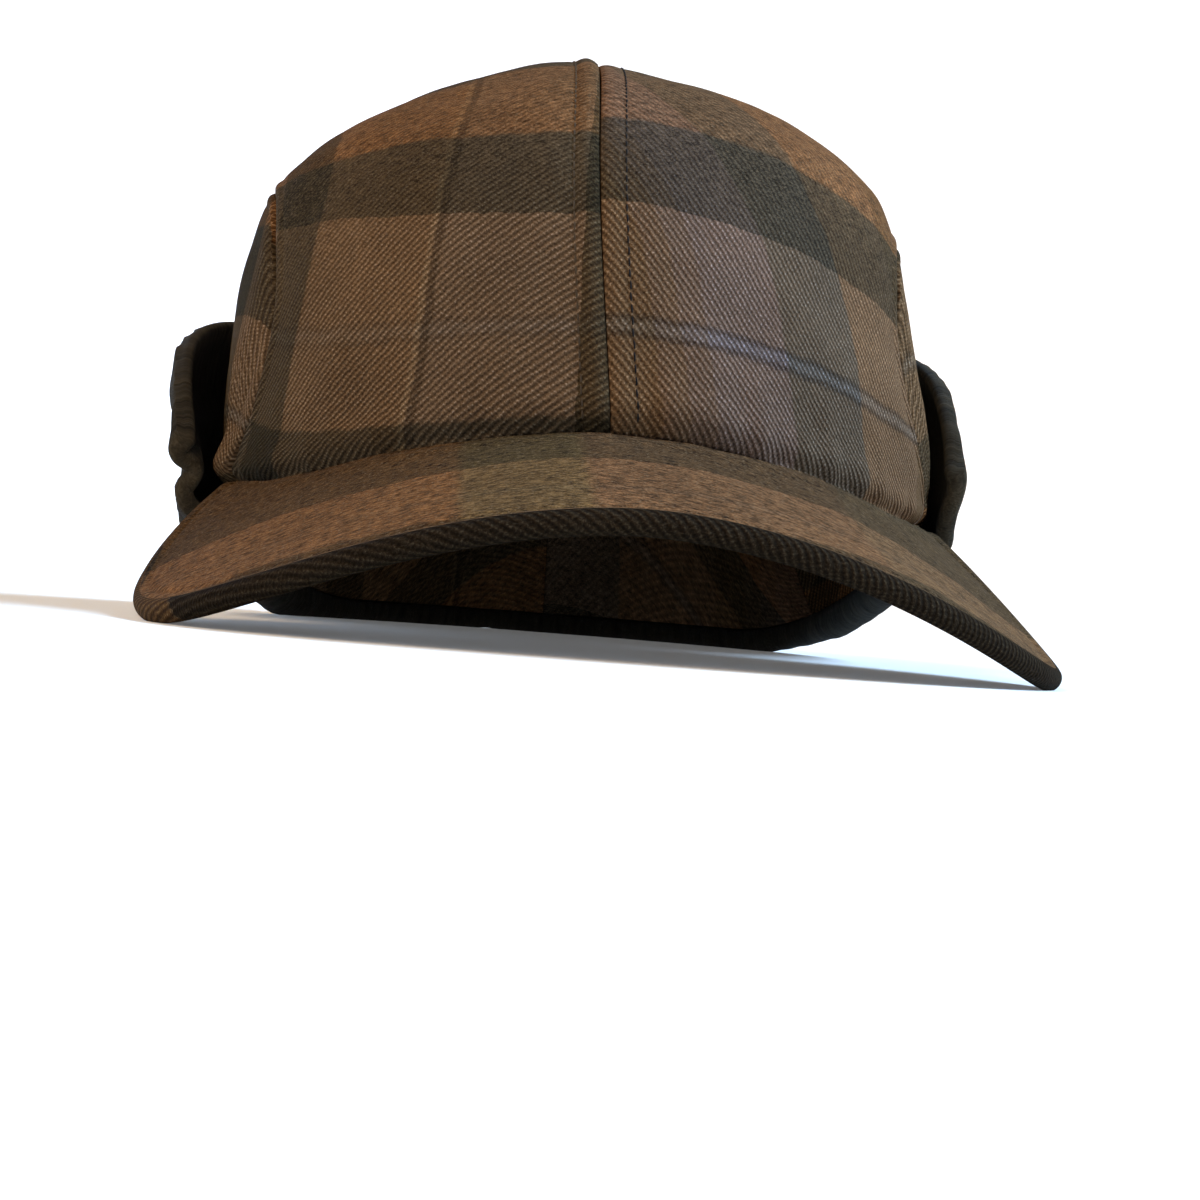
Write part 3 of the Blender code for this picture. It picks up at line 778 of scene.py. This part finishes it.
def make_ear_band():
    """Padded fleece band, folded up round the sides and the back, with round edges all round."""
    side = np.linspace(BAND_START_ANGLE, BAND_CLOSES_FROM, 61)
    rear = np.linspace(BAND_CLOSES_FROM, 180, 101)[1:]
    right = np.concatenate([side, rear])
    around = np.concatenate([-right[:-1], right[::-1]])
    half = BAND_THICKNESS / 2
    lines, rims, outs = (np.array(part) for part in zip(*map(band_section, around)))
    turns = np.linspace(0, math.pi, 9)[1:-1]
    tangent = unit(np.gradient(lines, axis=1))
    normal = together(tangent[..., 1], -tangent[..., 0])

    def placed(section):
        plan = rims[:, None, :2] + section[..., :1] * outs[:, None]
        return np.concatenate([plan, section[..., 1:]], axis=-1)

    def there_and_back(section):
        """Up the section's outside, round its top edge and down its inside."""
        round_top = np.repeat(section[:, -1:], len(turns), axis=1)
        return np.concatenate([section, round_top, section[:, ::-1]], axis=1)

    spine = placed(lines)
    length = arc_lengths(spine[:, -1], 0)
    height = arc_lengths(lines, 1)
    from_end = np.minimum(length, length[-1] - length)
    waviness = np.interp(length / length[-1], *BAND_WAVINESS) * sway(from_end / BAND_CALM)
    puff = ripple(length[:, None], height, BAND_WAVES) * waviness[:, None]
    top_roll = BAND_ROLL * bell(height, height[:, -1:], BAND_ROLL_WIDTH)
    puff += top_roll + BAND_ROLL * bell(from_end, 0, BAND_ROLL_WIDTH)[:, None]
    outer = lines + (half + puff)[..., None] * normal
    inner = lines - half * normal
    above, aside = tangent[:, -1], normal[:, -1]
    top_edge = [lines[:, -1] + half * (math.cos(b) * aside + math.sin(b) * above) for b in turns]
    rings = np.concatenate([outer, np.array(top_edge).swapaxes(0, 1), inner[:, ::-1]], axis=1)
    points = placed(rings)
    middle = placed(there_and_back(lines))
    caps = {}
    for end, before in ((0, 1), (-1, -2)):
        forward = unit(unit(spine[end] - spine[before]).mean(0))
        rows = []
        for b in np.linspace(0, math.pi / 2, 7)[1:]:
            shrunk = middle[end] + max(math.cos(b), BAND_CAP_END) * (points[end] - middle[end])
            rows.append(shrunk + half * math.sin(b) * forward)
        caps[end] = np.array(rows)
    points = np.concatenate([caps[0][::-1], points, caps[-1]])
    points[..., 2] = np.maximum(points[..., 2], 0.0)
    added = len(caps[0])
    beyond = half * np.linspace(0.2, 1, added)
    along = np.concatenate([length[0] - beyond[::-1], length, length[-1] + beyond])
    upward = np.pad(there_and_back(height), ((added, added), (0, 0)), mode="edge")
    uv = together(np.broadcast_to(along[:, None], upward.shape), upward)
    # Painted highlight on the pile along its top edge and at its ends, kept in the mark edge
    near_end = np.minimum(along - along[0], along[-1] - along)[:, None]
    near_top = upward.max(axis=1, keepdims=True) - upward
    top_highlight = BAND_TOP_HIGHLIGHT * bell(near_top, 0, BAND_TOP_HIGHLIGHT_WIDTH)
    edge = np.maximum(bell(near_end, 0, BAND_END_HIGHLIGHT), top_highlight)
    marks = {"edge": np.broadcast_to(edge, upward.shape)}
    piece = loft_with_ends("ear_band_fleece", points, {"cloth": uv}, marks)
    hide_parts("ear_band")
    return piece


def stitch_row(name, line, normal):
    """Topstitch along a line on the cloth: short threads that dip into it at both ends."""
    length = arc_lengths(line, 0)
    starts = np.arange(STITCH_FREE_END, length[-1] - STITCH_FREE_END, STITCH_PITCH)
    ways = np.linspace(0, 1, 7)
    turns = np.linspace(0, 2 * np.pi, 7)[:-1]
    points, faces = [], []
    for k, s in enumerate(starts):
        places = s + STITCH_SHARE * STITCH_PITCH * ways
        spine, up = between(places, length, line), unit(between(places, length, normal))
        along = unit(np.gradient(spine, axis=0))
        across = unit(np.cross(along, up))
        lift = THREAD_LIFT * THREAD_RADIUS * np.sin(np.pi * ways) - THREAD_SUNK * THREAD_RADIUS
        lean = THREAD_LEAN * THREAD_RADIUS * math.sin(THREAD_LEAN_STEP * k)
        spine = spine + lift[:, None] * up + lean * across
        fullness = np.sin(np.pi * np.clip(ways, 0.08, 0.92))
        girth = THREAD_RADIUS * (THREAD_END_GIRTH + (1 - THREAD_END_GIRTH) * fullness)
        aside = np.cos(turns)[None, :, None] * across[:, None]
        ring = spine[:, None] + girth[:, None, None] * (
            aside + np.sin(turns)[None, :, None] * up[:, None]
        )
        first = len(points) * ring.shape[0] * ring.shape[1]
        points.append(ring.reshape(-1, 3))
        quads = grid_faces(len(ways), len(turns), first, closed=True, flip=True)
        near = first + np.array([(0, 1, 2, 3), (0, 3, 4, 5)])
        far = near[:, ::-1] + (len(ways) - 1) * len(turns)
        faces.append(np.concatenate([quads, near, far]))
    return make_mesh(name, np.concatenate(points), np.concatenate(faces))


def read_at(grid, distance, wanted):
    """Values of a grid's rows where their distance from the start is the wanted one."""
    return np.array([between(wanted, far, row) for row, far in zip(grid, distance)])


# Woven check: shares of each repeat, and the yarn up to there
WARP_REPEAT = 0.101
WEFT_REPEAT = 0.130
PEAK_REPEAT = 0.300
GROUND = (0.082, 0.0452, 0.0203)
# colour of the painted highlight of fibre specks on the rib crests
FIBRE_HIGHLIGHT = (0.34, 0.248, 0.158)
FUZZ = (0.18, 0.13, 0.078)
YARNS = {  # light that each yarn gives back, against the ground's
    "ground": (1.0, 1.0, 1.0),
    "grey_ground": (0.95, 1.04, 1.22),
    # painted daylight from the right, for the right panel: ever cooler copies of the ground, and a
    # paler, bluer copy of the dark stripe
    "ground_faint_daylight": (1.02, 1.06, 1.25),
    "ground_half_daylight": (1.04, 1.15, 1.60),
    "ground_full_daylight": (1.06, 1.24, 1.95),
    "dark_in_daylight": (0.77, 0.97, 1.36),
    "black": (0.26, 0.27, 0.29),
    "olive": (0.88, 0.96, 0.84),
    "russet": (1.08, 0.98, 0.95),
    "orange": (1.10, 0.90, 0.70),
    "dark": (0.45, 0.51, 0.52),
    "line": (0.42, 0.48, 0.58),
    "pale": (0.97, 1.22, 1.65),
    "fleck": (1.30, 1.45, 1.60),
    "tan": (1.20, 1.20, 1.32),
}
WARP_LEFT = (
    (0.198, "dark"),
    (0.604, "ground"),
    (0.622, "fleck"),
    (0.646, "line"),
    (1.000, "grey_ground"),
)
# Right panel's warp: beside the centre seam the ground, then its copies in ever stronger painted
# daylight, the dark stripe in painted daylight, and tan
WARP_RIGHT = (
    (0.110, "ground"),
    (0.170, "ground_faint_daylight"),
    (0.230, "ground_half_daylight"),
    (0.440, "ground_full_daylight"),
    (0.690, "dark_in_daylight"),
    (1.000, "tan"),
)
WARP_SIDE = ((0.178, "dark"), (1.000, "ground"))
WARP_PEAK = (
    (0.233, "orange"),
    (0.312, "olive"),
    (0.500, "russet"),
    (0.900, "ground"),
    (1.000, "black"),
)
WEFT_SETT = (
    (0.169, "dark"),
    (0.500, "orange"),
    (0.669, "dark"),
    (0.795, "ground"),
    (0.804, "line"),
    (0.820, "pale"),
    (0.829, "line"),
    (1.000, "ground"),
)
SOFT_EDGE = 0.006  # share of the repeat over which neighbouring stripes blend
THIN_YARNS = ("line", "pale", "fleck")

# Each cloth's warp, angle of its ribs, shares of the thin stripes across and up, and repeat
TOP_CLOTH = {
    LEFT: (WARP_LEFT, 32.0, 0.7, 0.3, WARP_REPEAT),
    RIGHT: (WARP_RIGHT, -52.0, 0.0, 0.8, WARP_REPEAT),
}
SIDE_CLOTH = (WARP_SIDE, 84.0, 0.0, 0.6, WARP_REPEAT)
PEAK_CLOTH = (WARP_PEAK, 40.0, 0.0, 0.25, PEAK_REPEAT)
TWILL_PITCH = 0.00140  # from one diagonal rib to the next
YARN_PITCH = 0.00090  # from one bead of yarn to the next along a rib
YARN_DRIFT = 0.0009  # of the stripes' edges
RIB_STIR = 3.4  # how far noise bends the ribs, in radians
BEADS = 0.30  # height of the beads against the ribs
CLOTH_BUMP = 0.00024
PILE = (0.0120, 0.0102, 0.0066)
# colour of the painted highlight on the pile's edges
PILE_EDGE_HIGHLIGHT = (0.026, 0.020, 0.0115)
PILE_BUMP = 0.0006
THREADS = {
    LEFT: ("tan_thread", (0.060, 0.042, 0.025)),
    RIGHT: ("dark_thread", (0.010, 0.009, 0.008)),
}


class Recipe:
    """Material made of nodes around a Principled BSDF."""

    def __init__(self, name, roughness, sheen=0.0, specular=0.2):
        self.material = bpy.data.materials.new(name)
        self.material.use_nodes = True
        self.tree = self.material.node_tree
        self.shader = self.tree.nodes["Principled BSDF"]
        inputs = self.shader.inputs
        inputs["Roughness"].default_value = roughness
        inputs["Sheen Weight"].default_value = sheen
        inputs["Sheen Roughness"].default_value = 0.6
        inputs["Specular IOR Level"].default_value = specular

    def put(self, target, value):
        """A link or a plain value on an input."""
        if isinstance(value, bpy.types.NodeSocket):
            self.tree.links.new(value, target)
        else:
            target.default_value = value

    def node(self, kind, inputs=(), **settings):
        """A node with its settings and its inputs, by name or number."""
        made = self.tree.nodes.new(kind)
        for key, value in settings.items():
            setattr(made, key, value)
        for key, value in dict(inputs).items():
            self.put(made.inputs[key], value)
        return made

    def math(self, operation, a, b=0.0, c=0.0):
        """One sum on numbers or links."""
        return self.node("ShaderNodeMath", {0: a, 1: b, 2: c}, operation=operation).outputs[0]

    def times(self, a, b):
        """Product of two numbers or links."""
        return self.math("MULTIPLY", a, b)

    def spread(self, value, low, high, new_low, new_high):
        """A value's range moved to another, and held there."""
        limits = {0: value, 1: low, 2: high, 3: new_low, 4: new_high}
        return self.node("ShaderNodeMapRange", limits).outputs[0]

    def split(self, vector):
        """The three parts of a vector."""
        return self.node("ShaderNodeSeparateXYZ", {0: vector}).outputs

    def layer(self, name):
        """Places of a UV map."""
        return self.node("ShaderNodeUVMap", uv_map=name).outputs[0]

    def mark(self, name):
        """Values of a mark on the mesh."""
        return self.node("ShaderNodeAttribute", attribute_name=name).outputs[2]

    def paint(self, value):
        """Sets the colour of the surface."""
        self.put(self.shader.inputs["Base Color"], value)

    def mix(self, share, a, b, blend="MIX"):
        """Mix of two colours."""
        inputs = {0: share, 6: a, 7: b}
        return self.node("ShaderNodeMix", inputs, data_type="RGBA", blend_type=blend).outputs[2]

    def noise(self, where, scale, detail=2.0, roughness=0.5, room="2D"):
        """Noise between 0 and 1 over a vector."""
        inputs = {"Vector": where, "Scale": scale, "Detail": detail, "Roughness": roughness}
        return self.node("ShaderNodeTexNoise", inputs, noise_dimensions=room).outputs[0]

    def vector(self, x, y, z=0.0):
        """Vector of its parts."""
        return self.node("ShaderNodeCombineXYZ", {0: x, 1: y, 2: z}).outputs[0]

    def shaded(self, base, light):
        """Colour times a brightness."""
        return self.mix(1.0, base, self.vector(light, light, light), "MULTIPLY")

    def bump(self, height, distance):
        """Relief of the surface in metres."""
        inputs = {"Height": height, "Distance": distance, "Strength": 1.0}
        made = self.node("ShaderNodeBump", inputs)
        self.put(self.shader.inputs["Normal"], made.outputs[0])


def colour(rgb):
    """Colour with its alpha."""
    return (*rgb, 1.0)


def stripes(recipe, place, repeat, sett, thin):
    """Tone of the yarn at a place in the check. Its thin stripes show by the share thin."""
    tones = dict(YARNS)
    for yarn in THIN_YARNS:
        tones[yarn] = tuple(1 + thin * (tone - 1) for tone in YARNS[yarn])
    share = recipe.math("FRACT", recipe.times(place, 1 / repeat))
    ramp = recipe.node("ShaderNodeValToRGB", {0: share})
    points = ramp.color_ramp.elements
    points[0].position, points[0].color = 0.0, colour(tones[sett[0][1]])
    points[1].position, points[1].color = 1.0, colour(tones[sett[-1][1]])
    for row, after in zip(sett[:-1], sett[1:]):
        for shift, yarn in ((-SOFT_EDGE / 2, row[1]), (SOFT_EDGE / 2, after[1])):
            points.new(row[0] + shift).color = colour(tones[yarn])
    return ramp.outputs[0]


def plaid_cloth(name, warp_sett, twill_angle, thin_warp, thin_weft, warp_repeat):
    """Felted wool twill in a woven check. Where its mark "nap" is high, the nap covers the ribs."""
    cloth = Recipe(name, 0.95, specular=0.03)
    uv = cloth.layer("cloth")
    u, v = cloth.split(uv)[:2]
    places = cloth.split(cloth.layer("check"))
    drift = cloth.noise(uv, 160.0, 4.0, 0.7)
    drift = cloth.spread(drift, 0.0, 1.0, -YARN_DRIFT, YARN_DRIFT)
    warp_place = cloth.math("ADD", places[0], drift)
    weft_place = cloth.math("ADD", places[1], drift)
    across = stripes(cloth, warp_place, warp_repeat, warp_sett, thin_warp)
    up = stripes(cloth, weft_place, WEFT_REPEAT, WEFT_SETT, thin_weft)
    checked = cloth.mix(1.0, across, up, "MULTIPLY")

    # Ribs and the beads of yarn along them
    nap = cloth.mark("nap")
    ribbed = cloth.spread(nap, 0.0, 1.0, 1.1, 0.30)
    a = math.radians(twill_angle)
    cosine, sine = math.cos(a), math.sin(a)
    along = cloth.math("ADD", cloth.times(u, cosine), cloth.times(v, sine))
    over = cloth.math("SUBTRACT", cloth.times(v, cosine), cloth.times(u, sine))
    stir = cloth.times(cloth.noise(uv, 420.0, 3.0, 0.65), RIB_STIR)
    phase = cloth.math("MULTIPLY_ADD", over, 2 * math.pi / TWILL_PITCH, stir)
    rib = cloth.math("SINE", phase)
    step = cloth.math("MULTIPLY_ADD", along, 2 * math.pi / YARN_PITCH, cloth.times(phase, 0.5))
    beads = cloth.math("SINE", step)
    raised = cloth.times(cloth.math("MULTIPLY_ADD", beads, BEADS, rib), ribbed)

    # Brightness: specks of single fibres, painted shade in the furrows between ribs and painted
    # light on their crests, blotches, clumps of felt
    speck = cloth.noise(uv, 2300.0, 3.0, 0.7)
    shade = cloth.spread(speck, 0.25, 0.75, 0.40, 1.60)
    # painted shade in the furrows, painted light on the crests of the ribs
    furrow_shade_crest_light = cloth.spread(raised, -1.2, 1.3, 0.42, 1.48)
    blotch = cloth.spread(cloth.noise(uv, 38.0, 3.0), 0.3, 0.7, 0.88, 1.12)
    combed = cloth.vector(cloth.times(u, 0.55), v)
    clump = cloth.math("SUBTRACT", cloth.noise(combed, 620.0, 5.0, 0.8), 0.5)
    felted = cloth.math("MULTIPLY_ADD", cloth.times(clump, nap), 5.2, 1.0)
    light = cloth.times(cloth.times(shade, furrow_shade_crest_light), cloth.times(blotch, felted))
    toned = cloth.shaded(cloth.mix(1.0, checked, colour(GROUND), "MULTIPLY"), light)

    # Painted highlight: bright fibre specks on top of the ribs; and loose hairs over all
    on_top = cloth.spread(raised, 0.5, 1.25, 0.0, 1.0)
    tip = cloth.times(on_top, cloth.spread(speck, 0.45, 0.70, 0.0, 0.55))
    crest_highlight = cloth.mix(1.0, checked, colour(FIBRE_HIGHLIGHT), "MULTIPLY")
    hair = cloth.spread(cloth.noise(combed, 1900.0, 5.0, 0.8), 0.52, 0.70, 0.0, 0.6)
    strewn = cloth.times(hair, cloth.spread(nap, 0.0, 1.0, 0.15, 1.0))
    cloth.paint(cloth.mix(strewn, cloth.mix(tip, toned, crest_highlight), colour(FUZZ)))
    cloth.bump(cloth.math("MULTIPLY_ADD", raised, 0.5, cloth.times(speck, 0.7)), CLOTH_BUMP)
    return cloth.material


def fleece():
    """Dark brushed pile, with a painted highlight on its edges where light goes through the pile.
    """
    pile = Recipe("fleece", 0.97, sheen=0.04, specular=0.04)
    uv = pile.layer("cloth")
    u, v = pile.split(uv)[:2]
    lock = pile.noise(pile.vector(u, pile.times(v, 0.28)), 520.0, 4.0, 0.65)
    fine = pile.noise(uv, 2600.0, 3.0, 0.7)
    deep = pile.spread(lock, 0.3, 0.7, 0.45, 1.5)
    shade = pile.times(deep, pile.spread(fine, 0.3, 0.7, 0.6, 1.4))
    # The mark edge blends in the painted highlight on the band's top edge and ends
    ground = pile.mix(pile.mark("edge"), colour(PILE), colour(PILE_EDGE_HIGHLIGHT))
    pile.paint(pile.shaded(ground, shade))
    pile.bump(pile.math("MULTIPLY_ADD", lock, 0.8, pile.times(fine, 0.35)), PILE_BUMP)
    return pile.material


def thread(name, rgb):
    """Twisted sewing thread."""
    made = Recipe(name, 0.8, specular=0.08)
    place = made.node("ShaderNodeTexCoord").outputs["Object"]
    wave = made.noise(place, 3200.0, 1.0, room="3D")
    made.paint(made.mix(wave, colour(0.6 * c for c in rgb), colour(rgb)))
    made.bump(wave, 0.0001)
    return made.material


def pale_glowing_ground():
    """Plain pale floor, a little darker near the cap than on the backdrop, with a faint glow all
    over as painted light.
    """
    made = Recipe("pale_glowing_floor", 0.8, specular=0.1)
    place = made.node("ShaderNodeTexCoord").outputs["Object"]
    soft = made.noise(place, 3.0, room="3D")
    grey = made.mix(soft, colour((0.66, 0.66, 0.65)), colour((0.69, 0.69, 0.68)))
    far = made.spread(made.split(place)[2], 0.0, 0.25, 0.0, 1.0)
    made.paint(made.mix(far, grey, colour((0.93, 0.94, 0.97))))
    # Faint white glow all over the floor and backdrop: painted light, which lightens the coloured
    # shadows on it
    made.shader.inputs["Emission Color"].default_value = colour((1.0, 1.0, 1.0))
    made.shader.inputs["Emission Strength"].default_value = 0.1
    return made.material


def make_stage():
    """Round floor that curves up into a low backdrop far from the cap on every side."""
    line = [(0.0, 0.0), (0.4, 0.0), (1.2, 0.0), (STAGE_FLAT, 0.0)]
    for b in np.linspace(0, math.pi / 2, 17)[1:]:
        line.append((STAGE_FLAT + STAGE_BEND * math.sin(b), STAGE_BEND * (1 - math.cos(b))))
    line.append((STAGE_FLAT + STAGE_BEND, STAGE_HEIGHT))
    turns = np.linspace(0, 2 * math.pi, STAGE_TURNS + 1)[:-1]
    points = np.array([[(r * math.cos(t), r * math.sin(t), z) for t in turns] for r, z in line])
    faces = grid_faces(len(line), len(turns), closed=True, flip=True)
    floor = make_mesh("floor", points.reshape(-1, 3), faces)
    floor.data.materials.append(pale_glowing_ground())


def add_sun(name, rgb, strength, softness, azimuth, elevation):
    """Broad light from a direction: azimuth 0 is in front, 90 on the right."""
    lamp = bpy.data.lights.new(name, "SUN")
    lamp.color, lamp.energy, lamp.angle = rgb, strength, math.radians(softness)
    a, e = math.radians(azimuth), math.radians(elevation)
    toward = Vector((math.sin(a) * math.cos(e), -math.cos(a) * math.cos(e), math.sin(e)))
    obj = bpy.data.objects.new(name, lamp)
    obj.rotation_mode = "QUATERNION"
    obj.rotation_quaternion = toward.to_track_quat("Z", "Y")
    bpy.context.scene.collection.objects.link(obj)


def make_light():
    """Warm light from the left, cool daylight from the right, pale surroundings."""
    for sun in SUNS:
        add_sun(*sun)
    world = bpy.data.worlds.new("studio")
    world.use_nodes = True
    background = world.node_tree.nodes["Background"]
    background.inputs[0].default_value = colour(SKY[0])
    background.inputs[1].default_value = SKY[1]
    bpy.context.scene.world = world
    bpy.context.scene.view_settings.view_transform = "Standard"


def make_camera():
    """The photograph's camera: level, turned and rolled to the cap, just above the floor."""
    data = bpy.data.cameras.new("camera")
    data.sensor_width = SENSOR
    data.lens = FOCAL_PIXELS / PHOTO_PIXELS * SENSOR
    data.clip_start = 0.01
    turn, roll = math.radians(CAMERA_TURN), math.radians(CAMERA_ROLL)
    forward = Vector((-math.sin(turn), math.cos(turn), 0))
    level = Vector((math.cos(turn), math.sin(turn), 0))
    upright = Vector((0, 0, 1))
    right = math.cos(roll) * level + math.sin(roll) * upright
    up = math.cos(roll) * upright - math.sin(roll) * level
    aim = Vector((*CAMERA_AIM, CAMERA_HEIGHT))
    camera = bpy.data.objects.new("camera", data)
    turned = Matrix((right, up, -forward)).transposed().to_4x4()
    camera.matrix_world = Matrix.Translation(aim - CAMERA_DISTANCE * forward) @ turned
    bpy.context.scene.collection.objects.link(camera)
    bpy.context.scene.camera = camera


def dress(piece, material):
    """Gives a piece its material and slot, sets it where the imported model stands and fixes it."""
    piece.data.materials.append(material)
    piece.data.transform(Matrix.Translation(ORIGIN_SHIFT))
    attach(piece, "root")


def footprint_shift():
    """From the crown's middle, about which the shapes are worked out, to the model's origin."""
    low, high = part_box("peak")
    across = (low.x + high.x) / 2 - (PEAK_EDGE_X.min() + PEAK_EDGE_X.max()) / 2
    ways = np.linspace(0, 1, 201)
    rear = meridian(np.full(len(ways), 180.0), ways)[:, 1].max()
    return Vector((across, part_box("top_panel_left")[1].y - rear, 0.0))


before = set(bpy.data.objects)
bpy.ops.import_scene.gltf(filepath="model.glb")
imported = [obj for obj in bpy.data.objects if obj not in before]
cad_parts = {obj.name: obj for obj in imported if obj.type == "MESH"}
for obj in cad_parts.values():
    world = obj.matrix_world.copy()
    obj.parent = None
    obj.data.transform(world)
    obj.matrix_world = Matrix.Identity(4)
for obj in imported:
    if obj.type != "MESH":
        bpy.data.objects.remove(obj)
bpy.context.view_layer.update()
ORIGIN_SHIFT = footprint_shift()

make_stage()
make_light()
make_camera()
for side, word in WORDS.items():
    piece, outer, normal, from_middle = top_panel(side)
    dress(piece, plaid_cloth(f"plaid_{word}", *TOP_CLOTH[side]))
    line, up = (read_at(grid, from_middle, SEAM_FOLD_WIDTH) for grid in (outer, normal))
    topstitch = stitch_row(f"centre_topstitch_{word}", line, up)
    dress(topstitch, thread(*THREADS[side]))
    dress(side_panel(side), plaid_cloth(f"plaid_side_{word}", *SIDE_CLOTH))
dress(make_peak(), plaid_cloth("plaid_peak", *PEAK_CLOTH))
dress(make_ear_band(), fleece())
